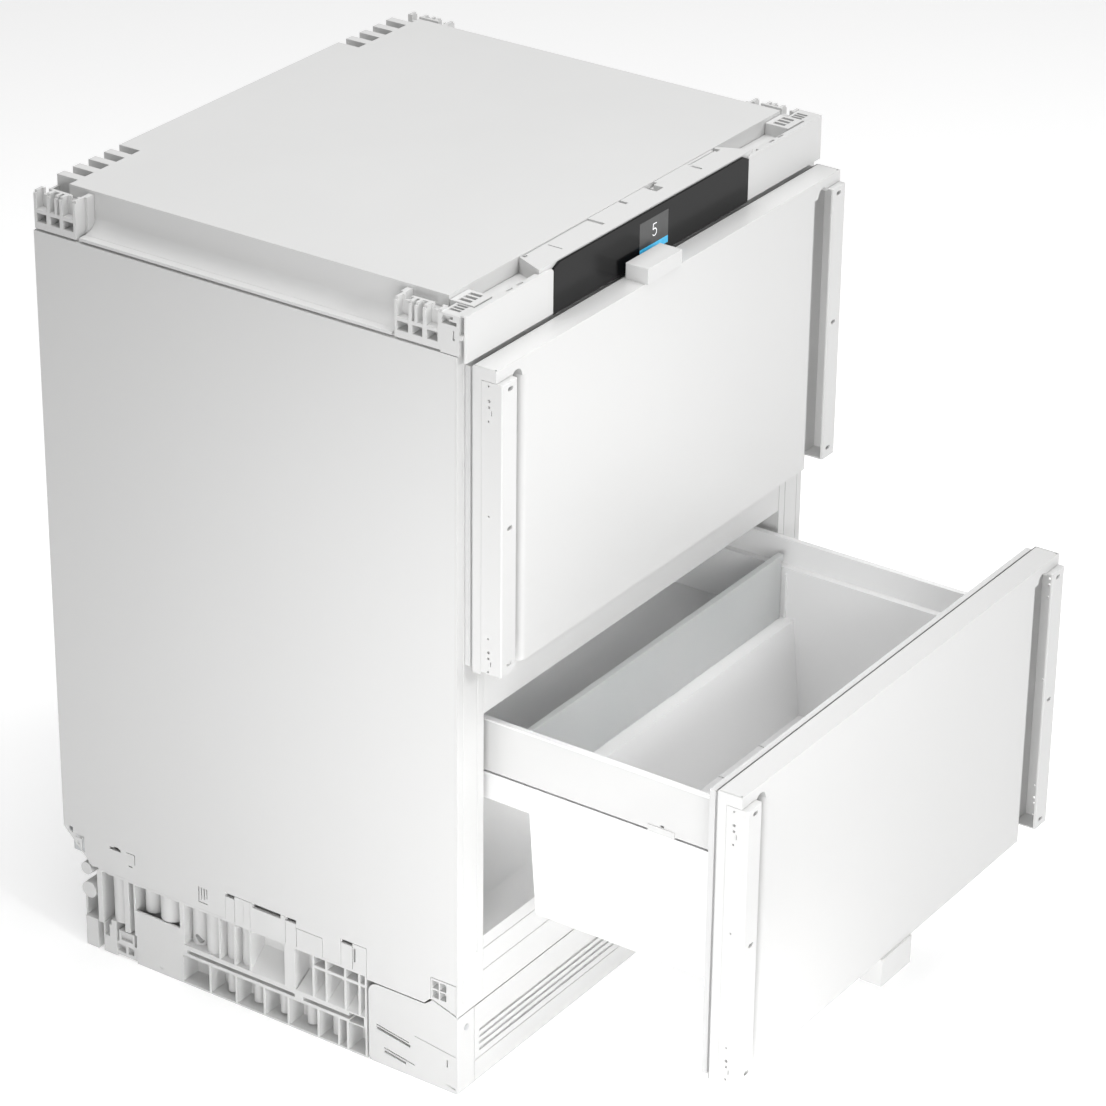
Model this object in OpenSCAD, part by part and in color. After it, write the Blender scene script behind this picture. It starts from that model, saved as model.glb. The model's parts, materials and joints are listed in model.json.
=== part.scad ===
// Undercounter refrigerator with two drawers, for a furniture front.
// Millimetres. X to the right, Y to the back, Z up.
// Origin: on the floor, under the middle of the cabinet's side panels.

/* [Cabinet] */
// Overall width over the side panels
body_w = 597; // [591:1:630]
// Overall height, floor to top cover
body_h = 820; // [812:1:880]
// Depth of the side panels
body_d = 486; // [480:1:540]
// Thickness of the coated side sheets
sheet_t = 1.2; // [0.8:0.1:1.2]
// How far the top cover slab stands in from the sides
slab_inset = 24.5; // [22:0.5:30]
// Height of the slots in the plinth grille
grille_slot_h = 3; // [1.5:0.1:4]
// Number of slots in the plinth grille
grille_slots = 4; // [3:1:5]
// Number of slots at each rear corner of the top cover
top_slots = 5; // [3:1:5]

/* [Fascia] */
// Width of the black control panel
panel_w = 325; // [200:1:420]
// Width of the display window
display_w = 48; // [30:1:80]
// Height of the display window
display_h = 34; // [20:1:36]

/* [Drawer fronts] */
// Width of each drawer front
front_w = 578; // [570:1:590]
// Height of the lower front
front_h = 305.5; // [300:0.5:306]
// Thickness of each front behind its face
front_t = 26; // [22:0.5:30]
// Width of the raised face
face_w = 498; // [440:1:500]
// Width of each mounting strip
strip_w = 23; // [20:0.5:24]
// How far the mounting strips stand in front of the face
strip_proud = 6.7; // [4:0.1:8]
// Length of the slotted holes in the strips
slot_l = 8; // [6:0.5:10]
// Width of the slotted holes in the strips
slot_w = 4; // [3:0.5:5]

/* [Drawers] */
// How far the lower drawer stands open
lower_open = 266; // [0:1:400]
// Outer width of each drawer at its rim
box_w = 480; // [476:1:480]
// Height of the lower drawer's deep part above the floor
box_bottom = 190; // [170:1:200]
// Wall thickness of the drawer boxes
box_t = 3; // [2.5:0.1:3]
// Thickness of the divider
divider_t = 3; // [2:0.5:4]

/* [Cooling] */
// Radius of the evaporator fan's blades
evap_fan_r = 43; // [30:1:44]
// Radius of the condenser fan's blades
cond_fan_r = 50; // [40:1:52]
// Number of blades on each fan
fan_blades = 7; // [5:1:9]
// Number of fins on the condenser
cond_fins = 22; // [12:1:26]
// Radius of the compressor shell
comp_r = 58; // [50:1:60]

/* [Feet] */
// Radius of each foot's pad
foot_r = 18; // [14:1:18]
// Radius of each foot's threaded stud
stud_r = 5; // [4:0.5:5]

/* [Hidden] */

hw = body_w / 2;                // half width over the side panels
yf = -242.5;                    // front plane of the cabinet
yb = yf + body_d;               // rear plane of the cabinet
zt = body_h;                    // top of the cover
dz = body_h - 820;              // height added to the upper opening
xs = hw - slab_inset;           // half width of the slab
xl = hw - 41.9;                 // half width of the cold space
fh = front_w / 2;               // half width of a front
fu_z0 = 462;                    // bottom of the upper front
fl_z0 = 123;                    // bottom of the lower front
fu_h = front_h + 0.5 + dz;      // height of the upper front
y_back = -252;                  // rear plane of a closed front
y_face = y_back - front_t;      // face plane of a closed front
y_strip = y_face - strip_proud; // front plane of the mounting strips
bw = box_w / 2;                 // half width of a drawer at its rim
lift = 339;                     // the upper drawer's runners stand this much higher
white = [0.93, 0.93, 0.92];
shade = [0.86, 0.86, 0.85];
grey = [0.62, 0.63, 0.64];
dark = [0.12, 0.12, 0.13];
steel = [0.72, 0.73, 0.74];
copper = [0.72, 0.45, 0.3];

// ---- helpers ----
module bx(x0, x1, y0, y1, z0, z1)
  translate([min(x0, x1), min(y0, y1), min(z0, z1)])
    cube([abs(x1 - x0), abs(y1 - y0), abs(z1 - z0)]);
module lr() { children(); mirror([1, 0, 0]) children(); }
module rodx(x0, x1, y, z, r) translate([x0, y, z]) rotate([0, 90, 0]) cylinder(h = x1 - x0, r = r, $fn = 40);
module rody(y0, y1, x, z, r) translate([x, y0, z]) rotate([-90, 0, 0]) cylinder(h = y1 - y0, r = r, $fn = 40);
module rodz(z0, z1, x, y, r) translate([x, y, z0]) cylinder(h = z1 - z0, r = r, $fn = 40);
module prof_yz(x0, x1) translate([x0, 0, 0]) rotate([90, 0, 90]) linear_extrude(x1 - x0) children();
module prof_xz(y0, y1) translate([0, y1, 0]) rotate([90, 0, 0]) linear_extrude(y1 - y0) children();
module prof_xy(z0, z1) translate([0, 0, z0]) linear_extrude(z1 - z0) children();
// quarter arc points about c, radius r, from angle a to b
function arc(c, r, a, b, n = 6) = [for (i = [0:n]) let (t = a + (b - a) * i / n) [c[0] + r * cos(t), c[1] + r * sin(t)]];

// ---- cabinet sheets ----
module side_skin() {
  difference() {
    prof_yz(-hw, -hw + sheet_t) polygon([[yf + 1.6, 122.5], [yf + 31.5, 122.5], [yf + 31.5, 98],
      [-203.6, 90.6], [-135, 90.6], [-135, 125.5], [-104, 125.5], [-104, 96], [-82, 96], [-82, 117.5],
      [-50, 117.5], [-50, 126], [37.5, 126], [37.5, 96], [yb - 35, 96], [yb, 131], [yb, zt - 44],
      [yf + 1.6, zt - 44]]);
    bx(-hw - 1, -hw + 3, 170, 184, 124.6, 127.4);
    bx(-hw - 1, -hw + 3, 172, 178, 126, 129);
    prof_yz(-hw - 1, -hw + 3) polygon([[151.5, 116], [152.5, 116], [152.5, 127], [162.5, 127], [162.5, 128], [151.5, 128]]);
    bx(-hw - 1, -hw + 3, 155, 160, 112, 113.4);
    for (k = [0:3]) bx(-hw - 1, -hw + 3, 60 + 3.4 * k, 61.2 + 3.4 * k, 110 - 1.5 * k, 121);
    bx(-hw - 1, -hw + 3, 60, 72, 103.4, 104.6);
    prof_yz(-hw - 1, -hw + 3) polygon([[217, 108], [220.5, 110], [220.5, 123], [228, 123], [228, 126.5], [217, 126.5]]);
    bx(-hw - 1, -hw + 3, 231.5, 236, 127, 133);
    bx(-hw - 1, -hw + 3, 223, 226, 115.5, 119.5);
  }
  bx(-hw + sheet_t - 0.2, -hw + 14, yf + 2.2, yb - 1.4, zt - 44 - sheet_t, zt - 44);
}
module side_panel_left() color(white) side_skin();
module side_panel_right() color(white) mirror([1, 0, 0]) side_skin();

module rear_panel() color(steel) {
  difference() {
    bx(-hw + 1.5, hw - 1.5, yb - 1, yb, 96.5, zt - 44);
    bx(-284, 284, yb - 3, yb + 1, 60, 246);
    prof_xz(yb - 3, yb + 1) polygon([[-hw - 1, 90], [-hw + 37, 90], [-hw + 37, 92], [-hw - 1, 132]]);
    prof_xz(yb - 3, yb + 1) polygon([[hw + 1, 90], [hw - 37, 90], [hw - 37, 92], [hw + 1, 132]]);
  }
  // stiffening beads pressed outwards
  for (z = [300, 420, 540, 660]) bx(-240, 240, yb, yb + 1, z, z + 14);
  // plugs in the filling holes
  for (x = [-180, 180], z = [350, 610]) rody(yb - 0.5, yb + 1.6, x, z, 11);
  // lining of the machine space
  bx(-284, 284, 34, yb - 1, 246, 247);
  bx(-284, 284, 34, 35, 97, 246);
  for (s = [-1, 1]) bx(s * 284, s * 285, 34, yb - 2, 97.2, 247);
  // flanges round the opening
  for (s = [-1, 1]) bx(s * 274, s * 284, yb - 1, yb, 96.5, 246);
}

module top_cover() color(white) {
  difference() {
    union() {
      bx(-xs, xs, -216.5, yb + 0.5, zt - 3, zt);
      for (s = [-1, 1]) bx(s * (xs - 2.5), s * xs, -216.5, yb + 0.5, zt - 41.5, zt - 3);
      bx(-xs, xs, yb - 2, yb + 0.5, zt - 41.5, zt - 3);
      bx(-xs, xs, -216.5, -214, zt - 41.5, zt - 3);
      lr() bx(-xs, -xs + 24.5 * top_slots - 18, yb - 27.5, yb - 2, zt - 29, zt - 3);
    }
    lr() for (k = [0:top_slots - 1]) {
      bx(-xs - 0.001 + 22.5 * k, -xs + 22.5 * k + 12.5, yb - 25, yb + 2, zt - 11, zt + 1);
      bx(-xs + 2.5 + 22.5 * k, -xs + 22.5 * k + 12.5, yb - 25, yb - 2, zt - 27, zt - 9);
    }
  }
  lr() {
    difference() {
      union() {
        bx(-hw + 0.3, -xs, -171.3, yb - 55.3, zt - 41.5, zt - 38.5);
        bx(-hw + 9, -xs, -171.3, yb - 55.3, zt - 38.5, zt - 22);
      }
      rody(-175, yb - 50, -hw + 9.2, zt - 22.5, 15.6);
      bx(-hw - 1, -xs - 14.5, -175, yb - 50, zt - 38, zt - 20);
    }
    bx(-hw + 4, -hw + 6, -171.3, yb - 55.3, zt - 43.9, zt - 41.5);
  }
}

// ribbed corner block; y0 is its end nearer the middle, d = +1 grows to the rear
module corner_block(y0, d) {
  a = -hw + 0.2;
  b = -xs - 0.3;
  z = zt - 41.5;
  difference() {
    union() {
      bx(a, b, y0, y0 + d * 50, z, z + 35.5);
      bx(a + 2, b, y0, y0 + d * 50, z, z + 38);
      bx(a + 14, b, y0, y0 - d * 3, z, z + 38);
    }
    // lower row of square pockets
    for (p = [[3, 15], [19.5, 30.5], [35.5, 47]])
      bx(a - 1, a + 13, y0 + d * p[0], y0 + d * p[1], z + 7, z + 16);
    // upper row, open at the top
    for (p = [[3, 15.5], [19, 22], [25, 31], [34.5, 47]])
      bx(a - 1, a + 9, y0 + d * p[0], y0 + d * p[1], z + 19.5, z + 40);
    // groove beside the slab
    bx(a + 12, b + 1, y0 + d * 3, y0 + d * 52, z + 29, z + 40);
    bx(a + 8, a + 13, y0 + d * 5, y0 + d * 12, z + 33, z + 40);
    bx(a + 8, a + 13, y0 + d * 36, y0 + d * 45, z + 32, z + 40);
  }
}
module corner_brackets_rear() color(shade) lr() {
  corner_block(yb - 52, 1);
  bx(-hw + 4, -hw + 6, yb - 52, yb - 3, zt - 43.9, zt - 41.5);
}
module corner_brackets_front() color(shade) lr() {
  corner_block(-174.5, -1);
  bx(-hw + 4, -hw + 6, -174.5, -244, zt - 43.9, zt - 41.5);
  difference() {
    bx(-hw + 0.2, -xs - 0.3, -224.5, -245, zt - 44 + 0.8, zt - 5);
    bx(-hw - 1, -hw + 8, -227, -238, zt - 9.5, zt - 7);
    bx(-hw - 1, -hw + 8, -226, -242, zt - 15, zt - 11.5);
    bx(-hw - 1, -hw + 5, -226, -234, zt - 11.6, zt - 9);
    bx(-hw - 1, -hw + 5, -238.2, -239.4, zt - 27, zt - 20);
    rodx(-hw - 1, -hw + 5, -238.8, zt - 28, 1.3);
    for (k = [0:2]) bx(-hw + 9 + 5.2 * k, -hw + 12.6 + 5.2 * k, -227, -239, zt - 16, zt - 2);
  }
  // narrow bridge to the fascia
  bx(-hw + 0.2, -hw + 10, -245, -248.4, zt - 27, zt - 22.5);
}

module post() {
  difference() {
    bx(-hw + 0.1, -xl, yf, yf + 1.5, 87, zt - 44);
    bx(-hw + 30.6, -hw + 33, yf - 1, yf + 0.5, 146, zt - 60);
    bx(-hw + 8.5, -hw + 10, yf - 1, yf + 0.4, 100, zt - 50);
  }
  bx(-hw + 0.1, -hw + 1.3, yf + 1.5, yf + 1.6, 125, zt - 44);
  bx(-xl - 12, -xl - 10.5, yf + 1.5, yf + 10, 87, 96.3);
}
module front_post_left() color(white) post();
module front_post_right() color(white) mirror([1, 0, 0]) post();

module mullion() color(white) {
  w = xl - 0.4;
  difference() {
    bx(-w, w, yf, yf + 44, 400, 497);
    bx(-w + 2, w - 2, yf + 2, yf + 46, 402, 495);
  }
}
module top_rail() color(white) {
  bx(-xl + 0.2, xl - 0.2, yf, yf + 1.5, 739 + dz, zt - 44);
  bx(-xl + 0.2, xl - 0.2, yf, yf + 1.5, zt - 44, zt - 42.5);
}
module sill() color(white) {
  w = xl - 0.2;
  difference() {
    bx(-w, w, yf, yf + 1.5, 87, 158.5);
    bx(-w - 1, w + 1, yf - 1, yf + 0.6, 143.4, 144.6);
    bx(-w - 1, w + 1, yf - 1, yf + 0.6, 119.6, 120.6);
  }
  bx(-w, w, yf + 1.5, yf + 41, 157, 158.5);
  bx(-w, w, yf + 39.5, yf + 41, 150.3, 157);
}

module foam_section() polygon([[yf + 1.7, 97.2], [yf + 1.7, 156.8], [yf + 38.8, 156.8], [yf + 38.8, 148.2],
  [-3.2, 148.2], [-3.2, 277.2], [1.4, 283.2], [189.8, 283.2], [189.8, 740.8 + dz], [yf + 1.7, 740.8 + dz],
  [yf + 1.7, zt - 45.4], [yb - 1.2, zt - 45.4], [yb - 1.2, 247.2], [33.8, 247.2], [33.8, 97.2]]);
module insulation() color([0.9, 0.84, 0.62]) {
  difference() {
    union() {
      prof_yz(-hw + sheet_t + 0.2, hw - sheet_t - 0.2) foam_section();
      // side walls beside the cold space
      lr() bx(-hw + sheet_t + 0.2, -xl - 1.8, yf + 1.7, yb - 1.2, 97.2, zt - 45.4);
      bx(-xs + 2.7, xs - 2.7, -213.8, yb - 28, zt - 46, zt - 14.2);
    }
    // room for the upstand of the base mouldings
    lr() bx(-hw, -hw + 11.5, yf, yb, 90, 133);
    // machine space
    bx(-285.2, 285.2, 33.8, yb, 90, 247.2);
    lr() bx(-hw - 1, -hw + 14.5, yf + 1, yb, zt - 46, zt - 45.2);
    // pocket at the lower rear corners
    lr() bx(-hw - 1, -283, 205, yb, 90, 142);
  }
}

module cold_section(o) polygon([[yf + 1.6 - (o > 0 ? 0 : 1), 739 + dz + o], [182, 739 + dz + o], [188 + o, 733 + dz],
  [188 + o, 285 - o], [1, 285 - o], [-5 + o, 279 - o], [-5 + o, 156 - o], [-11, 150 - o],
  [-201.4, 150 - o], [-201.4, 158.8], [yf + 1.6 - (o > 0 ? 0 : 1), 158.8]]);
module inner_liner() color([0.95, 0.95, 0.95]) {
  difference() {
    prof_yz(-xl - 1.6, xl + 1.6) cold_section(1.6);
    prof_yz(-xl, xl) cold_section(0);
  }
  // pads that carry the fixed runners
  lr() for (z = [322, 322 + lift], y = [-120, 20, 130]) bx(-xl, -xl + 1, y, y + 22, z, z + 26);
}

// ---- cold side ----
module evaporator() color(steel) {
  for (k = [0:25]) bx(-190 + 15.2 * k, -189 + 15.2 * k, 158, 184, 330, 500);
  for (z = [345 : 28 : 485], y = [165, 177]) rodx(-200, 200, y, z, 4);
  for (z = [345, 401, 457], y = [165, 177]) bx(-204, -198, y - 4, y + 4, z - 4, z + 32);
  for (z = [373, 429], y = [165, 177]) bx(198, 204, y - 4, y + 4, z - 4, z + 32);
}
module evaporator_cover() color(white) {
  difference() {
    bx(-235, 235, 148, 187.7, 295, 725);
    bx(-232.5, 232.5, 150.5, 190, 297.5, 722.5);
    // rings of the finger guard in front of the fan
    difference() {
      for (q = [[15, 24.5], [26, 34.5], [36, evap_fan_r + 3]]) difference() {
        rody(140, 160, 0, 640, q[1]);
        rody(139, 161, 0, 640, q[0]);
      }
      for (a = [0 : 45 : 135]) translate([0, 0, 640]) rotate([0, a, 0]) bx(-60, 60, 138, 162, -1.1, 1.1);
    }
    for (k = [0:17]) bx(-216 + 24.4 * k, -204 + 24.4 * k, 140, 160, 304, 322);
    for (k = [0:5]) bx(-200 + 20 * k, -190 + 20 * k, 140, 160, 690, 712);
    for (k = [0:5]) bx(90 + 20 * k, 100 + 20 * k, 140, 160, 690, 712);
  }
  // motor carrier behind the fan

  for (a = [0 : 90 : 270]) translate([0, 0, 640]) rotate([0, a, 0]) bx(evap_fan_r + 9, evap_fan_r + 12, 150.5, 178, -3, 3);
  difference() {
    union() {
      for (a = [0, 90]) translate([0, 0, 640]) rotate([0, a, 0]) bx(-evap_fan_r - 12, evap_fan_r + 12, 176, 178, -3, 3);
      rody(172, 187, 0, 640, 16);
    }
    rody(170, 190, 0, 640, 2.06);
  }
}
// fan about the Y axis: hub, shaft and tilted blades
module fan(x, y, z, r, hub_r, depth, shaft_r, shaft_l) translate([x, y, z]) {
  rody(-depth / 2, depth / 2, 0, 0, hub_r);
  rody(0, depth / 2 + shaft_l, 0, 0, shaft_r);
  for (k = [0:fan_blades - 1]) rotate([0, 360 / fan_blades * k, 0])
    intersection() {
      rotate([0, 0, 38]) bx(-depth * 0.75, depth * 0.75, -0.7, 0.7, 0, r + 5);
      rody(-depth / 2, depth / 2, 0, 0, r);
      bx(-r * 0.5, r * 0.5, -depth / 2, depth / 2, hub_r - 2, r + 5);
    }
}
module evaporator_fan() color(dark) fan(0, 160, 640, evap_fan_r, 14, 15, 2, 16);

module interior_light() color([0.97, 0.97, 0.9]) {
  bx(-90, 90, -196, -176, 735.2 + dz, 739 + dz);
  bx(-84, 84, -193, -179, 733.5 + dz, 735.2 + dz);
}

// fixed runner, left side, at height z
module rail_fixed(z) {
  bx(-xl, -xl + 1.5, -138, 146, z + 3.5, z + 30);
  bx(-xl, -231.7, -138, 146, z + 3.5, z + 4.7);
  bx(-233.3, -231.7, -230, 146, z + 3.5, z + 26);
}
module cabinet_runners() color(steel) lr() {
  difference() {
    union() { rail_fixed(324); rail_fixed(324 + lift); }
    for (z = [324, 324 + lift], y = [-109, 31, 137])
      rodx(-xl - 1, -xl + 3, y, z + 19, 2.2);
    // the pads of the liner stand in cut-outs
    for (z = [322, 322 + lift], y = [-120, 20, 130]) bx(-xl - 0.1, -xl + 1.1, y - 0.2, y + 22.2, z, z + 26.2);
  }
}

// ---- machine space ----
module compressor() color(dark) {
  translate([-145, 142, 0]) {
    rotate_extrude($fn = 60) polygon(concat([[0, 27], [comp_r - 12, 27]], arc([comp_r - 12, 39], 12, -90, 0),
      arc([comp_r - 26, 118], 26, 0, 80), [[0, 146]]));
    translate([0, 0, 86]) rotate_extrude($fn = 60) polygon([[comp_r - 2, -3], [comp_r + 3, -3], [comp_r + 3, 3], [comp_r - 2, 3]]);
    // carrying plates
    difference() {
      for (s = [-1, 1]) bx(-76, 76, s * 30 - 14, s * 30 + 14, 24, 27);
      for (u = [-66, 66], v = [-30, 30]) rodz(20, 30, u, v, 4.2);
    }
    // terminal cover
    bx(comp_r - 6, comp_r + 16, -22, 22, 60, 104);
    for (s = [-1, 1]) rodz(138, 158, s * 22, 20, 3.2);
  }
}
module compressor_mounts() color([0.1, 0.1, 0.1])
  for (x = [-211, -79], y = [112, 172]) {
    difference() { rodz(14, 23.9, x, y, 11); rodz(12, 30, x, y, 4.2); }
    difference() { rodz(27.1, 31, x, y, 8); rodz(12, 32, x, y, 4.2); }
  }
module condenser() color([0.2, 0.2, 0.21]) {
  for (k = [0:cond_fins - 1]) bx(60 + 8.2 * k, 61 + 8.2 * k, 52, 92, 24, 148);
  for (z = [40 : 22 : 128], y = [62, 82]) rodx(50, 250, y, z, 3.4);
  for (z = [40, 84], y = [62, 82]) bx(248, 252, y - 3, y + 3, z - 3, z + 25);
  for (z = [62, 106], y = [62, 82]) bx(48, 52, y - 3, y + 3, z - 3, z + 25);
  bx(66, 230, 60, 84, 14, 24);
}
module condenser_fan_bracket() color(grey) {
  difference() {
    bx(90, 210, 100, 134, 20, 150);
    bx(93, 207, 102, 140, 23, 147);
    rody(95, 110, 150, 85, cond_fan_r + 3);
  }
  for (s = [-1, 1]) bx(150 + s * 45 - 8, 150 + s * 45 + 8, 104, 132, 14, 20);
  difference() {
    union() {
      for (a = [45, 135]) translate([150, 0, 85]) rotate([0, a, 0]) bx(-81, 81, 128, 130, -3, 3);
      rody(124, 146, 150, 85, 20);
    }
    rody(120, 150, 150, 85, 2.56);
  }
}
module condenser_fan() color(dark) fan(150, 114, 85, cond_fan_r, 16, 16, 2.5, 18);

module drip_tray() color([0.15, 0.15, 0.16]) {
  difference() {
    bx(-240, -50, 70, 215, 172, 200);
    bx(-237.5, -52.5, 72.5, 212.5, 174.5, 201);
  }
  for (y = [90, 190]) for (s = [0, 1]) bx(-262 + s * 212, -240 + s * 212, y - 8, y + 8, 188, 191);
  for (y = [90, 190]) { bx(-283.8, -262, y - 8, y + 8, 188, 191); bx(-38, -28, y - 8, y + 8, 188, 245.8); }
}

// copper tube through a list of points, mitred at each bend
function unit(v) = v / norm(v);
function side_of(t) = unit(cross(t, abs(t[2]) < 0.9 ? [0, 0, 1] : [1, 0, 0]));
function ring(p, t, u, r, n) = [for (k = [0:n - 1]) p + r * (cos(360 * k / n) * u + sin(360 * k / n) * cross(t, u))];
function bends(p, c) = [for (i = [0:len(p) - 1]) each (i == 0 || i == len(p) - 1) ? [p[i]] :
  let (a = unit(p[i - 1] - p[i]), b = unit(p[i + 1] - p[i]))
    [for (k = [0:3]) let (t = k / 3) (1 - t) * (1 - t) * (p[i] + a * c) + 2 * t * (1 - t) * p[i] + t * t * (p[i] + b * c)]];
function frames(p, i, u) = i >= len(p) ? [] :
  let (t = unit(p[min(i + 1, len(p) - 1)] - p[max(i - 1, 0)]), v = unit(u - t * (u * t))) concat([[t, v]], frames(p, i + 1, v));
module tube(q, r, c = 8, n = 10) {
  p = bends(q, c);
  f = frames(p, 0, side_of(unit(p[1] - p[0])));
  m = len(p);
  polyhedron([for (i = [0:m - 1]) each ring(p[i], f[i][0], f[i][1], r, n)],
    concat([[for (k = [0:n - 1]) k]], [[for (k = [n - 1:-1:0]) (m - 1) * n + k]],
      [for (i = [0:m - 2], k = [0:n - 1]) [i * n + k, (i + 1) * n + k, (i + 1) * n + (k + 1) % n, i * n + (k + 1) % n]]));
}
module refrigerant_pipes() color(copper) {
  tube([[-123, 162, 158.3], [-123, 162, 169], [-30, 162, 169], [20, 130, 164], [20, 82, 160], [44, 82, 128]], 3);
  tube([[-167, 162, 158.3], [-167, 162, 169], [-167, 225, 166], [-20, 225, 166], [-8, 225, 236]], 3);
  tube([[42, 62, 62], [30, 62, 62], [30, 48, 90], [20, 48, 200]], 2);
  tube([[20, 48, 220], [20, 48, 238]], 2);
  rodz(198, 222, 20, 48, 9);
}
module control_box() color(dark) {
  difference() {
    bx(206, 278, 190, yb - 3, 110, 200);
    bx(222, 262, yb - 14, yb, 126, 152);
  }
  bx(208, 276, 188, 190, 112, 198);
  bx(279, 283.8, 196, 232, 150, 160);
  bx(278, 279, 196, 232, 150, 160);
}
module mains_inlet() color([0.08, 0.08, 0.08]) {
  difference() {
    bx(222.2, 261.8, yb - 13.8, yb - 2, 126.2, 151.8);
    bx(226, 258, yb - 12, yb, 130, 148);
  }
  for (x = [-7, 0, 7]) bx(242 + x - 1, 242 + x + 1, yb - 12, yb - 4, x == 0 ? 140 : 134, x == 0 ? 146 : 140);
}

// ---- base ----
foot_x = 236;
foot_yf = -200;
foot_yr = 200;
module base_pan() color([0.3, 0.31, 0.32]) {
  difference() {
    union() {
      bx(-261, 261, -236, 223, 0, 2.5);
      for (s = [-1, 1]) bx(s * 258.5, s * 261, -236, 223, 0, 14);
      for (y = [-236, 220.5]) bx(-261, 261, y, y + 2.5, 0, 14);
      // platforms of the machine space
      bx(-231, -59, 92, 192, 2.5, 13.9);
      bx(56, 236, 52, 136, 2.5, 13.9);
      for (x = [-foot_x, foot_x], y = [foot_yf, foot_yr]) rodz(0, 22, x, y, foot_r + 6);
      for (y = [-120, -40]) bx(-258.5, 258.5, y, y + 2.5, 2.5, 10);
    }
    for (x = [-foot_x, foot_x], y = [foot_yf, foot_yr]) {
      rodz(-1, 13, x, y, foot_r + 2);
      rodz(10, 40, x, y, stud_r + 0.06);
    }
    bx(-225, -65, 98, 186, -1, 11.5);
    bx(62, 230, 58, 130, -1, 11.5);
    for (x = [-211, -79], y = [112, 172]) rodz(10, 15, x, y, 4);
  }
}
module foot(x, y) color([0.14, 0.14, 0.15]) {
  rodz(0, 5, x, y, foot_r);
  translate([x, y, 4]) rotate([0, 0, 30]) cylinder(h = 8, r = 11, $fn = 6);
  rodz(3, 76, x, y, stud_r);
}
module foot_front_left() foot(-foot_x, foot_yf);
module foot_front_right() foot(foot_x, foot_yf);
module foot_rear_left() foot(-foot_x, foot_yr);
module foot_rear_right() foot(foot_x, foot_yr);

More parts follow.
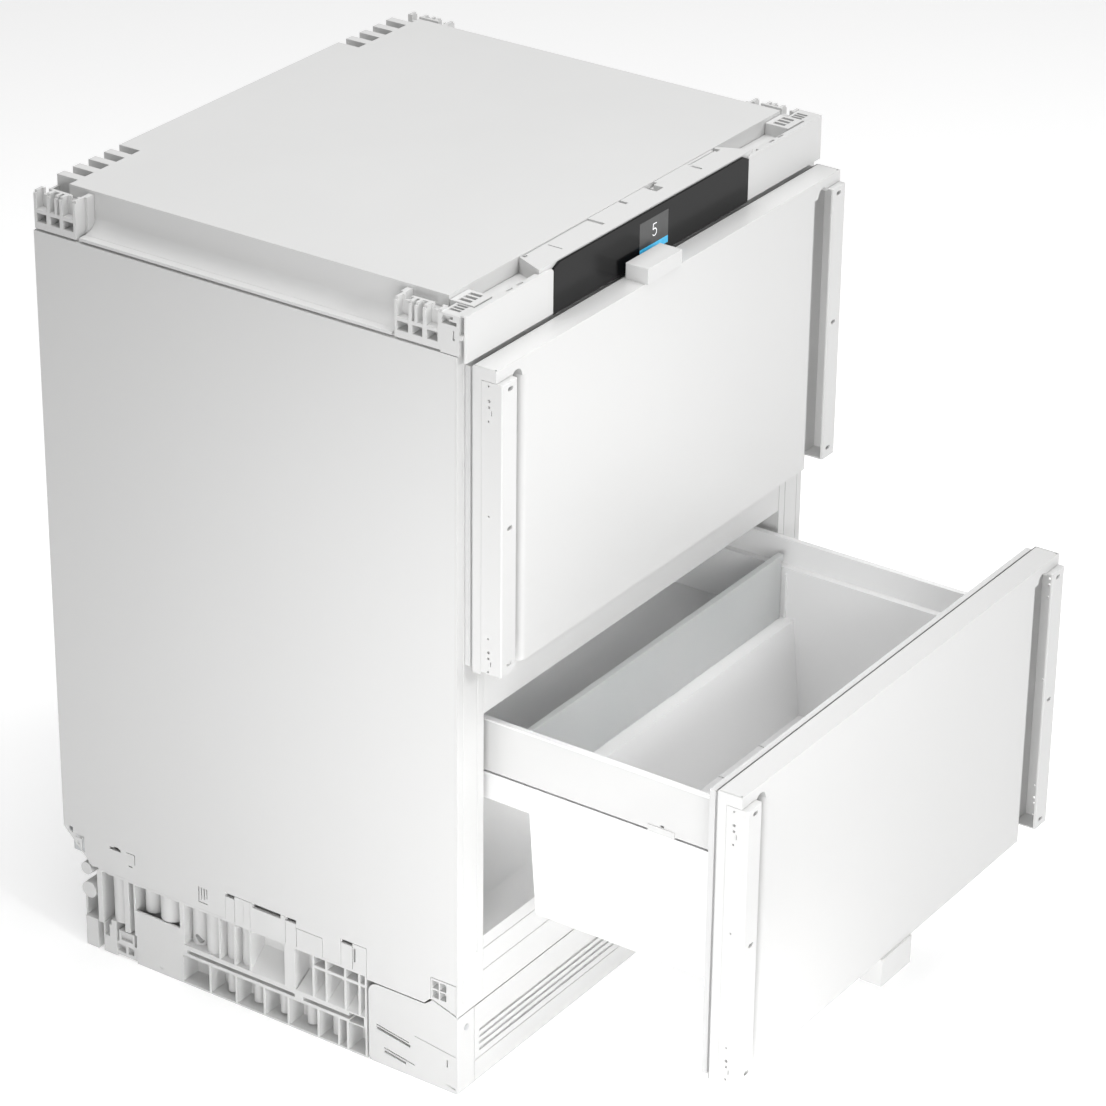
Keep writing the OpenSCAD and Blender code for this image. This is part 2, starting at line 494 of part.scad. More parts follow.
// ribbed moulding that carries the left side panel
module base_side() {
  a = -hw + 0.2;  // outer plane
  b = -hw + 23;   // back wall, outer face
  c = -hw + 25.5; // back wall, inner face
  difference() {
    union() {
      // back wall, deck and floor lips
      bx(b, c, -134.6, 222, 0, 96);
      bx(a, c, -134.6, 200, 93, 96);
      bx(a, c, -134.6, 153.5, 33, 46);
      bx(b - 2, -262, -134.6, 200, 33, 35.5);
      // upstand behind the side panel and its tabs
      difference() {
        bx(-hw + 1.4, -hw + 3.4, yf + 5, 214, 96, 131.5);
        for (o = [[26.8, 37, 122.2, 125.8], [-30.6, 3, 121.2, 125.8], [-49.2, -37.4, 121.8, 125.8],
                  [-117.2, -104.8, 121.6, 125.3], [169.6, 184.4, 124.2, 129.4], [59.6, 71.8, 111, 121.4]])
          bx(-hw + 1, -hw + 4, o[0], o[1], o[2], o[3]);
      }
      prof_yz(-hw + 9.6, -hw + 11) polygon([[-134.6, 95], [209.5, 95], [236, 121.5], [236, 131.5], [-134.6, 131.5]]);
      bx(a, -hw + 3.4, 26.5, 37.3, 96, 122);
      bx(a, -hw + 3.4, 15, 26, 96, 125.6);
      bx(a, -hw + 3.4, 7, 14.8, 96, 125.6);
      bx(a, -hw + 3.4, 3.5, 6.8, 96, 125.6);
      bx(a, -hw + 3.4, -31, 3.5, 96, 121);
      bx(a, -hw + 3.4, -36.5, -31, 96, 125.6);
      bx(a, -hw + 3.4, -49.6, -37, 96, 121.6);
      bx(a, -hw + 3.4, -81.6, -50.4, 96, 117);
      bx(a, -hw + 3.4, -117.6, -104.4, 96, 121.4);
      bx(a, -hw + 3.4, -134.6, -118.4, 96, 125);
      // full height ribs
      for (y = [[196.5, 202.5], [153.5, 155.5], [161.8, 168], [91.5, 96.5], [45.5, 47.5], [26.5, 28.5],
                [7.5, 9.5], [-47.5, -34.5]]) bx(a, b, y[0], y[1], 33, 94);
      for (y = [-71, -87, -110, -127]) bx(a, b, y, y + 2.4, 46, 94);
      bx(a, b, -134.6, -132.5, 0, 94);
      // rounded columns
      rodz(40, 94, -hw + 12.5, 176.5, 11.2);
      rodz(64, 94, -hw + 14, 115, 13);
      bx(-hw + 14, b, 104, 126, 64, 94);
      rodz(46, 94, -hw + 14, 59.5, 11);
      rodz(46, 94, -hw + 15, 37.5, 8.4);
      rodz(46, 94, -hw + 15, 18.5, 8.4);
      rodz(62, 94, -hw + 15.5, 141, 9);
      rodz(46, 94, -hw + 17, 82, 9);
      // lower row of ribs on a floor
      bx(a, b, -134.6, 96.5, 0, 2.2);
      for (y = [58.5, 25.5, -9.5, -39.5, -76.5, -101.5, -112.5]) bx(a, b, y, y + 2.6, 0, 33);
      for (y = [41, 8, -25, -58, -90]) rodz(4, 33, -hw + 16, y + 1, 6);
      // cover plate
      bx(a, -hw + 2.4, 96.5, 153.5, 0, 63);
      bx(a, b, 94, 96.5, 0, 46);
      // rear end with two hooks
      bx(a + 4, b, 219.5, 222, 0, 60);
      bx(a, b, 204, 219.5, 0, 34);
      bx(a + 6, b, 204, 206, 34, 94);
      rodx(a, b, 213.5, 66, 9);
      rodx(a, b, 216, 90, 7);
      bx(a, b, 184, 196.5, 0, 34);
      bx(a, b, 180, 186, 0, 40);
      // shelf of the large bay, sloping down to the back wall
      prof_xz(-34.5, 7.5) polygon([[a, 96], [b, 96], [b, 78], [a, 93]]);
      prof_xz(-34.5, 7.5) polygon([[a, 46], [b, 66], [b, 46]]);
      bx(a, b, -134.6, -71, 80, 83);
      prof_xz(-134.6, -49) polygon([[a, 46], [b, 60], [b, 46]]);
      // small frame at the rear
      bx(a + 1, b, 157.5, 177.5, 17, 31);
      bx(a + 1, b, 154, 184.5, 2, 17.5);
      // front corner block
      prof_yz(a, -hw + 11) polygon([[yf + 1.8, 89.2], [-213, 98], [yf + 31, 98.4], [yf + 31, 121.8], [yf + 1.8, 121.8]]);
    }
    // long groove
    bx(a - 1, a + 9, -46.5, 88.5, 36.6, 40.6);
    bx(a - 1, a + 9, -113.5, -56.5, 36.6, 40.6);
    // stepped slots at the front end
    bx(a - 1, b - 3, -131, -115.5, 26, 31);
    bx(a - 1, b - 3, -131, -113, 34.5, 44.5);
    bx(a - 1, b - 3, -130, -118, 16, 22);
    // oval hole, grooves and pockets
    for (k = [0:3]) rodx(a - 1, c + 1, 77.5 + k * 1.2, 50.5 + k * 1.6, 2.6);
    bx(a - 1, a + 12, 188.8, 195, 20, 94);
    bx(a + 0.6, a + 4, 160, 175, 20.5, 28.5);
    bx(a, a + 7, 158.5, 166, 6, 14.5);
    bx(a, a + 7, 169, 180, 6, 14.5);
    bx(a - 1, a + 0.6, 120, 124, 6, 8);
    for (y = [yf + 13, yf + 22], z = [100.5, 110.8]) bx(a - 1, a + 8, y, y + 7.6, z, z + 8.6);
    bx(a - 1, a + 5, -121.8, -119.4, 105, 120);
    // clear the feet
    for (y = [foot_yf, foot_yr]) rodz(-1, 100, -foot_x, y, foot_r + 8);
  }
}
module base_side_left() color(white) base_side();
module base_side_right() color(white) mirror([1, 0, 0]) base_side();

function grille_z(k) = 53.4 - 7.4 * k;
module plinth_grille() color(white) {
  difference() {
    union() {
      bx(-270, 270, yf + 0.2, yf + 3.2, 0, 85.4);
      bx(-270, 270, yf + 3, yf + 6, 23, 25.5);
      bx(-270, 270, yf + 3, yf + 6, 82.4, 84.4);
    }
    for (k = [0:grille_slots - 1])
      bx(-262, 262, yf - 1, yf + 5, grille_z(k), grille_z(k) + grille_slot_h);
    bx(-270.5, 270.5, yf - 1, yf + 0.9, 23.4, 24.6);
  }
  for (x = [-200 : 50 : 200]) bx(x - 1, x + 1, yf + 3, yf + 6, 25, 83);
  // sloping blades behind the slots
  for (k = [0:grille_slots - 1]) prof_yz(-263, 263) polygon([[yf + 0.7, grille_z(k) - 1],
    [yf + 0.7, grille_z(k) - 0.3], [yf + 3, grille_z(k) + 1.2], [yf + 6, grille_z(k) + 2.1],
    [yf + 6, grille_z(k) + 1], [yf + 2.8, grille_z(k) - 1]]);
}
module plinth_cheeks() color(white) lr() difference() {
  union() {
    difference() {
      prof_yz(-hw, -hw + 2.4) polygon(concat([[yf, 0], [yf, 86], [yf + 2, 87.6], [-213, 96.6],
        [-204, 89.4]], arc([-148, 78.4], 11, 90, 0), [[-137, 0]]));
      for (s = [[-146.5, 44.6, 39, 1.4], [-146.5, 41.8, 41, 3], [-155.5, 21, 37, 1.4], [-156, 18, 26, 3]])
        translate([0, s[0], s[1]]) rotate([9.5, 0, 0]) bx(-hw - 2, -hw + 6, -s[2], 0, -s[3], 0);
      translate([0, -192, 48.5]) rotate([7, 0, 0]) bx(-hw - 1, -hw + 0.6, -52, 0, -1, 0);
      bx(-hw - 1, -hw + 6, -231.2, -229.8, 27, 35);
      prof_yz(-hw - 1, -hw + 4) polygon([[-228, 7.5], [yf + 2.5, 5.6], [yf + 2.5, 3.6]]);
    }
    bx(-hw, -271, yf, yf + 2.4, 0, 86);
    bx(-273.4, -271, yf, yf + 14, 0, 86);
    bx(-hw + 2.4, -271, yf + 2.4, yf + 10, 84, 86);
    bx(-hw + 2.4, -hw + 16, -139.4, -137, 0, 76);
  }
  bx(-hw - 1, -hw + 0.8, -140, -137, 0, 4);
}

// ---- fascia ----
py = -251;
module fascia_end() difference() {
  union() {
    prof_xy(zt - 49, zt - 4) polygon(concat([[-hw + 2, py + 2.5], [-hw + 2, py + 1]], [[-hw + 3.2, py]],
      [[-panel_w / 2 - 0.3, py], [-panel_w / 2 - 0.3, py + 2.5]]));
    // turned top edge
    bx(-hw + 2.4, -184, py + 2.5, py + 5.8, zt - 6, zt - 4);
  }
  for (x = [-230, -214]) bx(x, x + 9, py + 3, py + 5.2, zt - 8, zt - 3);
  // corner that rounds the black panel
  prof_xz(py - 1, py + 3) polygon([[-panel_w / 2 - 12, zt - 3], [-panel_w / 2 + 1, zt - 3], [-panel_w / 2 + 1, zt - 9], [-panel_w / 2 - 2, zt - 5.2]]);
}
module fascia_ends() color(white) lr() fascia_end();
module control_panel() color(dark) difference() {
  prof_xz(py - 0.3, py + 2.4) polygon([[-panel_w / 2, zt - 50], [panel_w / 2, zt - 50], [panel_w / 2, zt - 6],
    [panel_w / 2 - 9, zt - 1.6], [-panel_w / 2 + 9, zt - 1.6], [-panel_w / 2, zt - 6]]);
  bx(-display_w / 2 - 0.1, display_w / 2 + 0.1, py - 1, py + 0.7, zt - 10.1 - display_h, zt - 9.9);
}
module display_module() color([0.3, 0.34, 0.36]) {
  bx(-display_w / 2, display_w / 2, py - 0.2, py + 0.6, zt - 10 - display_h, zt - 10);
}
module control_housing() color(white) {
  difference() {
    union() {
      bx(-xs + 0.3, xs - 0.3, py + 2.6, -217, zt - 41.5, zt - 16);
      prof_xy(zt - 16, zt - 0.4) polygon([[-182, py + 2.6], [-168, -217], [158, -217], [173, py + 2.6]]);
      // ramps down to the corners
      bx(-xs + 0.3, -246, -243, -217, zt - 16, zt - 4);
      bx(246, xs - 0.3, -243, -217, zt - 16, zt - 4);
    }
    bx(-xs + 2.8, xs - 2.8, py + 5, -219.5, zt - 42, zt - 19);
    // notches in the strip
    bx(-166, -161, -222, -216, zt - 6, zt + 1);
    bx(-131, -129.6, -238, -222, zt - 2.4, zt + 1);
    bx(-166, -62, -219.2, -216, zt - 1.6, zt + 1);
    bx(-63, -59, -236, -216, zt - 3, zt + 1);
    bx(-10, -6, -226, -216, zt - 5, zt + 1);
    bx(32, 44, -232, -216, zt - 9, zt + 1);
    bx(44, 50, -221, -216, zt - 5, zt + 1);
    bx(102, 105, -236, -224, zt - 2.4, zt + 1);
    bx(104, 150, -221.5, -220, zt - 1.6, zt + 1);
    bx(148, 154, -224, -216, zt - 6, zt + 1);
    // slots near the corners
    for (s = [-1, 1], k = [0:2]) bx(s * (250 + 7.4 * k), s * (254.6 + 7.4 * k), -236, -223, zt - 14, zt);
  }
}

// ---- drawer fronts, drawn closed; z0 bottom, h height ----
rec_w = (front_w - face_w) / 2;      // width of the side recess
y_rec = y_back - 10;                 // floor of the recess
module front_outline() polygon(concat([[-fh, y_back - 1], [-fh, y_rec]], [[-face_w / 2, y_rec]],
  arc([-face_w / 2 + 8, y_face + 8], 8, 180, 270), arc([face_w / 2 - 8, y_face + 8], 8, 270, 360),
  [[face_w / 2, y_rec], [fh, y_rec], [fh, y_back - 1]]));
// outline of the raised face, moved inwards by t and cut off at y1
module face_inside(t, y1) polygon(concat([[-face_w / 2 + t, y1]], arc([-face_w / 2 + 8, y_face + 8], 8 - t, 180, 270),
  arc([face_w / 2 - 8, y_face + 8], 8 - t, 270, 360), [[face_w / 2 - t, y1]]));
module front_pan(z0, h) difference() {
  union() {
    prof_xy(z0, z0 + h) front_outline();
    // shoulder that closes the recess above the strips
    lr() difference() {
      bx(-fh, -face_w / 2 + 9, y_face, y_rec, z0 + h - 18, z0 + h);
      rody(y_face - 1, y_rec - 1.5, -face_w / 2 - 8.6, z0 + h - 17, 8.2);
      bx(-fh + 0.001 - 1, -fh + strip_w + 0.4, y_face - 1, y_rec, z0 + h - 20, z0 + h - 11.6);
      bx(-face_w / 2 - 17, -face_w / 2, y_face - 1, y_rec, z0 + h - 20, z0 + h - 16.8);
    }
  }
  // hollow for the foam, open to the rear
  bx(-fh + 1, fh - 1, y_rec + 1.2, y_back + 1, z0 + 1, z0 + h - 1);
  prof_xy(z0 + 1, z0 + h - 1) face_inside(1.2, y_back);
  // hole at the top corner, and seam along the folded edge
  lr() rodz(z0 + h - 3, z0 + h + 1, -fh + 2.2, y_face + 2.2, 1.4);
  lr() bx(-fh + 0.8, -fh + 1.5, y_face + 2, y_back - 1.5, z0 + h - 0.6, z0 + h + 1);
}
module front_foam(z0, h) {
  bx(-fh + 1.3, fh - 1.3, y_rec + 1.4, y_back - 1.2, z0 + 1.3, z0 + h - 1.3);
  prof_xy(z0 + 1.3, z0 + h - 1.3) face_inside(1.5, y_back - 1.2);
}
module front_inner(z0, h, b0, b1) {
  bx(-fh, fh, y_back - 1, y_back, z0, z0 + h);
  difference() {
    bx(-225, 225, y_back, -237.5, b0, b1);
    bx(-222.5, 222.5, y_back - 2, -240, b0 + 2.5, b1 - 2.5);
  }
}
module gasket(z0, h) difference() {
  union() {
    bx(-fh + 2.5, fh - 2.5, -248.6, -242.9, z0 + 3, z0 + h - 3);
    bx(-fh + 5.5, fh - 5.5, y_back, -248, z0 + 6, z0 + h - 6);
  }
  bx(-fh + 24, fh - 24, y_back - 1, -242, z0 + 24.5, z0 + h - 24.5);
}
module strip(z0, z1, slots) difference() {
  union() {
    prof_xy(z0, z1) polygon([[-fh, y_rec - 0.2], [-fh, y_strip + 1], [-fh + 1, y_strip], [-fh + strip_w - 1, y_strip],
      [-fh + strip_w, y_strip + 1], [-fh + strip_w, y_rec - 0.2]]);
  }
  prof_xy(z0 + 1.4, z1 - 1.4) polygon([[-fh + 1.4, y_rec + 1], [-fh + 1.4, y_strip + 1.6], [-fh + strip_w - 1.4, y_strip + 1.6],
      [-fh + strip_w - 1.4, y_rec + 1]]);
  // open towards the raised face
  bx(-fh + strip_w - 2, -fh + strip_w + 1, y_strip + 2.4, y_rec + 1, z0 + 1.4, z1 - 1.4);
  for (z = slots) {
    bx(-fh + 12.5 - slot_l / 2 + slot_w / 2, -fh + 12.5 + slot_l / 2 - slot_w / 2, y_strip - 1, y_strip + 3, z - slot_w / 2, z + slot_w / 2);
    for (s = [-1, 1]) rody(y_strip - 1, y_strip + 3, -fh + 12.5 + s * (slot_l - slot_w) / 2, z, slot_w / 2);
  }
  // holes in the side flange
  for (z = [z0 + 22, z1 - 18]) {
    rodx(-fh - 1, -fh + 3, -270.5, z, 1.6);
    bx(-fh - 1, -fh + 3, -271.6, -269.4, z - 7.5, z - 5);
    bx(-fh - 1, -fh + 3, -273.5, -272.5, z - 14, z - 9);
    rodx(-fh - 1, -fh + 3, -270, z - 20, 1.1);
    rodx(-fh - 1, -fh + 3, -270, z + 14, 1.1);
  }
  rodx(-fh - 1, -fh + 3, -270.5, (z0 + z1) / 2 + 14, 1);
}
module strips(z0, z1, slots) lr() difference() {
  strip(z0, z1, slots);
}
slots_l = [135.5, 273, 410];
slots_u = [475, 612.5 + dz / 2, 749.5 + dz];

module upper_front_pan() color(white) front_pan(fu_z0, fu_h);
module upper_front_foam() color([0.9, 0.84, 0.62]) front_foam(fu_z0, fu_h);
module upper_front_inner() color(white) front_inner(fu_z0, fu_h, 500, 722 + dz);
module upper_gasket() color([0.8, 0.8, 0.8]) gasket(fu_z0, fu_h);
module upper_mounting_strips() color(white) strips(465, 756 + dz, slots_u);
module upper_top_bracket() color(white) difference() {
  bx(-54, 3.5, -281, -256, fu_z0 + fu_h, fu_z0 + fu_h + 16);
  bx(-51, 0.5, -278, -254, fu_z0 + fu_h - 1, fu_z0 + fu_h + 13.5);
}
module lower_front_pan() color(white) translate([0, -lower_open, 0]) front_pan(fl_z0, front_h);
module lower_front_foam() color([0.9, 0.84, 0.62]) translate([0, -lower_open, 0]) front_foam(fl_z0, front_h);
module lower_front_inner() color(white) translate([0, -lower_open, 0]) front_inner(fl_z0, front_h, 196, 374);
module lower_gasket() color([0.8, 0.8, 0.8]) translate([0, -lower_open, 0]) gasket(fl_z0, front_h);
module lower_mounting_strips() color(white) translate([0, -lower_open, 0]) strips(127.5, 416.5, slots_l);
module lower_bottom_bracket() color(white) translate([0, -lower_open, 0]) difference() {
  bx(-25, 31, -280, -256, 92, fl_z0 - 0.1);
  bx(-22, 28, -277, -250, 95, 130);
}

// ---- drawer boxes, drawn closed; z is the height of the hidden channel's shelf top ----
// box walls above the channel, the channel and the skirt, left side
module box_side(z, y0, y1) {
  bx(-bw, -bw + 6, y0, y1, z + 55, z + 57);
  bx(-bw + 4.5, -bw + 6, y0, y1, z + 27, z + 55);
  bx(-bw + 4.5, -bw + 14, y0, y1, z + 27, z + 29.5);
  bx(-bw + 11, -bw + 14, y0, y1, z, z + 29.5);
  bx(-bw + 0.2, -bw + 14, y0, y1, z - 3, z);
}
// side of the deep part up to height t, and the leaning wall at its rear end
module deep_side(t) polygon([[-234, box_bottom], [-25, box_bottom], [-23, box_bottom + 2], [-14.5, 300], [-14.5, t], [-234, t]]);
module step_wall(t) polygon(concat([[-25 - box_t, box_bottom], [-25, box_bottom], [-23, box_bottom + 2], [-14.5, 300]],
  t > 300 ? [[-14.5, t], [-14.5 - box_t, t]] : [], [[-14.5 - box_t, 300]]));
module lower_box() color([0.94, 0.94, 0.94]) translate([0, -lower_open, 0]) {
  z = 327;
  lr() {
    box_side(z, -234, 140);
    // outer skirt and inner wall of the deep part
    prof_yz(-bw + 3, -bw + 6) deep_side(z - 3);
    prof_yz(-bw + 11, -bw + 14) deep_side(z);
    // rear part
    bx(-bw + 3, -bw + 6, -14.5, 140, 300, z - 3);
    bx(-bw + 11, -bw + 14, -14.5, 140, 297, z);
    // ribs under the shelf
    for (y = [-200 : 60 : -20]) bx(-bw + 6, -bw + 11, y, y + 2, 240, z - 3);
  }
  // floor of the deep part
  bx(-bw + 11, bw - 11, -234, -24, box_bottom, box_bottom + box_t);
  // front wall
  bx(-bw + 11, bw - 11, -234, -234 + box_t, box_bottom, z + 57);
  lr() bx(-bw + 3, -bw + 11, -234, -234 + box_t, box_bottom, z - 3);
  // step between the deep and the shallow part
  prof_yz(-bw + 11, bw - 11) step_wall(300);
  lr() prof_yz(-bw + 3, -bw + 11) step_wall(z - 3);
  // floor of the rear part
  bx(-bw + 3, bw - 3, -14.5 - box_t, 140, 297, 300);
  // rear wall
  bx(-bw + 11, bw - 11, 140 - box_t, 140, 297, z + 57);
  bx(-bw + 11, bw - 11, 138, 143, z + 55, z + 57);
  bx(-bw + 11, bw - 11, -236, -231, z + 55, z + 57);
  // rails that hold the divider
  lr() for (y = [-8, 3.2]) bx(-bw + 14, -bw + 16, y, y + 2, 300, 350);
  // low ribs on the floor
  for (x = [-150 : 75 : 150]) bx(x - 1, x + 1, -225, -24, box_bottom + box_t, box_bottom + box_t + 1.2);
}
module upper_box() color([0.94, 0.94, 0.94]) {
  z = 327 + lift;
  lr() {
    box_side(z, -234, 140);
    bx(-bw + 3, -bw + 6, -234, 140, 529, z - 3);
    bx(-bw + 11, -bw + 14, -234, 140, 529, z);
    for (y = [-200 : 60 : 120]) bx(-bw + 6, -bw + 11, y, y + 2, 580, z - 3);
    bx(-bw + 3, -bw + 11, -234, -234 + box_t, 529, z - 3);
    bx(-bw + 3, -bw + 11, 140 - box_t, 140, 529, z - 3);
  }
  bx(-bw + 11, bw - 11, -234, 140, 529, 529 + box_t);
  bx(-bw + 11, bw - 11, -234, -234 + box_t, 529, z + 57);
  bx(-bw + 11, bw - 11, 140 - box_t, 140, 529, z + 57);
  bx(-bw + 11, bw - 11, 138, 143, z + 55, z + 57);
  bx(-bw + 11, bw - 11, -236, -231, z + 55, z + 57);
  for (x = [-150 : 75 : 150]) bx(x - 1, x + 1, -225, 130, 529 + box_t, 529 + box_t + 1.2);
}
// outer frame of the left side; z as above, y_back is the front's rear plane
module side_frame(z) {
  difference() {
    bx(-bw, -bw + 1.2, y_back + 0.001, 140, z + 2.3, z + 54.8);
    bx(-bw - 1, -bw + 3, -176, -151, z + 5.5, z + 6.6);
    bx(-bw - 1, -bw + 3, -166, -162, z + 8, z + 10);
  }
  bx(-bw, -bw + 3.4, y_back, 140, z + 52.8, z + 54.8);
  // lug and screw plate at the front
  bx(-bw, -bw + 1.2, y_back, -236.2, z - 80, z + 4.1);
  bx(-bw, -bw + 12, y_back, y_back + 1.5, z - 80, z + 54.8);
  // latch on the runner
  bx(-bw, -bw + 1.2, -178, -150, z - 0.2 + 0.6, z + 4.1);
  bx(-bw - 1.2, -bw, -178, -149, z + 1.2, z + 7.4);
}
module upper_side_frames() color(white) lr() side_frame(327 + lift);
module lower_side_frames() color(white) translate([0, -lower_open, 0]) lr() side_frame(327);

// middle member of the left runner, drawn closed
module rail_mid(z) {
  bx(-bw + 2, -bw + 3.4, -228, 136, z + 5.5, z + 25.8);
  bx(-bw + 2, -bw + 6, -228, 136, z + 24.4, z + 25.8);
}
module upper_runner_middles() color(steel) lr() rail_mid(327 + lift);
module lower_runner_middles() color(steel) translate([0, -lower_open / 2, 0]) lr() rail_mid(327);

module divider() color([0.85, 0.88, 0.88, 0.6]) translate([0, -lower_open, 0]) {
  bx(-221, 221, -3.2, -3.2 + divider_t, 301, 372);
  difference() {
    bx(-222.5, 222.5, -4.6, -0.2 + divider_t - 1.2, 366, 373);
    bx(-230, 230, -3.25, -3.15 + divider_t, 365, 371.9);
  }
}

module fasteners() color(steel) {
  // screws of the rear panel
  for (x = [-288, 288], z = [150, 300, 450, 600, 750]) rody(yb, yb + 1.8, x, z, 4);
  for (x = [-150, 0, 150]) rody(yb, yb + 1.8, x, zt - 52, 4);
  // screws of the compressor
  for (x = [-211, -79], y = [112, 172]) { rodz(31, 35, x, y, 6); rodz(14.1, 31, x, y, 4); }
  // screws of the plinth cheeks
  for (s = [-1, 1]) rody(yf - 0.8, yf, s * 284, 70, 3.4);
}

side_panel_left();
side_panel_right();
rear_panel();
top_cover();
corner_brackets_rear();
corner_brackets_front();
front_post_left();
front_post_right();
mullion();
top_rail();
sill();
insulation();
inner_liner();
evaporator();
evaporator_cover();
evaporator_fan();
interior_light();
cabinet_runners();
compressor();
compressor_mounts();
condenser();
condenser_fan_bracket();
condenser_fan();
drip_tray();
refrigerant_pipes();
control_box();
mains_inlet();
base_pan();
base_side_left();
base_side_right();
plinth_grille();
plinth_cheeks();
foot_front_left();
foot_front_right();
foot_rear_left();
foot_rear_right();
fascia_ends();
control_panel();
display_module();
control_housing();
upper_front_pan();
upper_front_foam();
upper_front_inner();
upper_gasket();
upper_mounting_strips();
upper_top_bracket();
upper_side_frames();
upper_box();
lower_front_pan();
lower_front_foam();
lower_front_inner();
lower_gasket();
lower_mounting_strips();
lower_bottom_bracket();
lower_side_frames();
lower_box();
upper_runner_middles();
lower_runner_middles();
divider();
fasteners();
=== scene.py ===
import bpy, bmesh, json
from math import sin, cos, pi, radians
from mathutils import Vector, Matrix


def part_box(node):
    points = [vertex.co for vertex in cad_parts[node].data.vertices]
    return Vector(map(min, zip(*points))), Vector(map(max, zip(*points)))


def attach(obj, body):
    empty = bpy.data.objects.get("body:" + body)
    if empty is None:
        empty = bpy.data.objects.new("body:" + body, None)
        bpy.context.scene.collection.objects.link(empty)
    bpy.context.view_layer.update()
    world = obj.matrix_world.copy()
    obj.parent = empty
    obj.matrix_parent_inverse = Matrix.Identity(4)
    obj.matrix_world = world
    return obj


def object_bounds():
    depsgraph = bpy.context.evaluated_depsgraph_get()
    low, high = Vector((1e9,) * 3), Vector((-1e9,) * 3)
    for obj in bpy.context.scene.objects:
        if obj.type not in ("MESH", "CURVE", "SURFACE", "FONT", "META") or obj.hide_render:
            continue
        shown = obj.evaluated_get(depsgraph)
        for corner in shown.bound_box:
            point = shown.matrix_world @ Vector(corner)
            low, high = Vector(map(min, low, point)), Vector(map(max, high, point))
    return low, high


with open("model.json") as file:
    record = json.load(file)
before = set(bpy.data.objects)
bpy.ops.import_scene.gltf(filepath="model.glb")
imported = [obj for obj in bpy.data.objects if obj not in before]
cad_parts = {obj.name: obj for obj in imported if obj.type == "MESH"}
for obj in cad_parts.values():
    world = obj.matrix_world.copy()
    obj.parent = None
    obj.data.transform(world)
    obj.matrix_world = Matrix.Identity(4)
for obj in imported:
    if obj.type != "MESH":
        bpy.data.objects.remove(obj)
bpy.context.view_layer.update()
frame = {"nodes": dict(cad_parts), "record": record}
N = frame["nodes"]
mm = 0.001

# ---------------------------------------------------------------- materials
def tree(name):
    m = bpy.data.materials.new(name)
    m.use_nodes = True
    nt = m.node_tree
    return m, nt, nt.nodes["Principled BSDF"]

def noise(nt, co, scale, detail=3.0, rough=0.55, stretch=None):
    n = nt.nodes.new("ShaderNodeTexNoise")
    n.inputs["Scale"].default_value = scale
    n.inputs["Detail"].default_value = detail
    n.inputs["Roughness"].default_value = rough
    if stretch:
        mp = nt.nodes.new("ShaderNodeMapping")
        mp.inputs["Scale"].default_value = stretch
        nt.links.new(co, mp.inputs["Vector"])
        co = mp.outputs["Vector"]
    nt.links.new(co, n.inputs["Vector"])
    return n.outputs["Fac"]

def ramp(nt, fac, stops, mode="LINEAR"):
    r = nt.nodes.new("ShaderNodeValToRGB")
    r.color_ramp.interpolation = mode
    e = r.color_ramp.elements
    while len(e) < len(stops):
        e.new(0.5)
    for k, (pos, col) in enumerate(stops):
        e[k].position = pos
        e[k].color = (*col, 1) if len(col) == 3 else col
    nt.links.new(fac, r.inputs["Fac"])
    return r.outputs["Color"]

def spread(nt, fac, lo, hi, a=0.3, b=0.7):
    r = nt.nodes.new("ShaderNodeMapRange")
    r.inputs["From Min"].default_value = a
    r.inputs["From Max"].default_value = b
    r.inputs["To Min"].default_value = lo
    r.inputs["To Max"].default_value = hi
    nt.links.new(fac, r.inputs["Value"])
    return r.outputs["Result"]

def bump(nt, fac, strength, dist, normal=None):
    b = nt.nodes.new("ShaderNodeBump")
    b.inputs["Strength"].default_value = strength
    b.inputs["Distance"].default_value = dist
    nt.links.new(fac, b.inputs["Height"])
    if normal is not None:
        nt.links.new(normal, b.inputs["Normal"])
    return b.outputs["Normal"]

def finish_of(name, base, rough, peel=1200, peel_depth=0.00002, tint=0.012, metallic=0.0, coat=0.0,
              coat_rough=0.1, rough_var=0.015, spec=0.5, blot=6.0, edge=0.0, brushed=None):
    """a coated or moulded surface: soft blotches in the colour, fine grain in the gloss and in the bump"""
    m, nt, p = tree(name)
    co = nt.nodes.new("ShaderNodeTexCoord").outputs["Object"]
    big = noise(nt, co, blot, 4)
    dark = tuple(max(0, c * (1 - tint)) for c in base)
    light = tuple(min(1, c * (1 + tint * 0.6)) for c in base)
    nt.links.new(ramp(nt, big, [(0.32, dark), (0.68, light)]), p.inputs["Base Color"])
    fine = noise(nt, co, peel, 2, stretch=brushed)
    mid = noise(nt, co, 45, 3)
    nt.links.new(spread(nt, mid, rough - rough_var, rough + rough_var), p.inputs["Roughness"])
    normal = None
    if edge:
        bv = nt.nodes.new("ShaderNodeBevel")
        bv.samples = 4
        bv.inputs["Radius"].default_value = edge
        normal = bv.outputs["Normal"]
    nt.links.new(bump(nt, fine, 0.35, peel_depth, normal), p.inputs["Normal"])
    p.inputs["Metallic"].default_value = metallic
    p.inputs["Coat Weight"].default_value = coat
    p.inputs["Coat Roughness"].default_value = coat_rough
    p.inputs["Specular IOR Level"].default_value = spec
    return m, nt, p

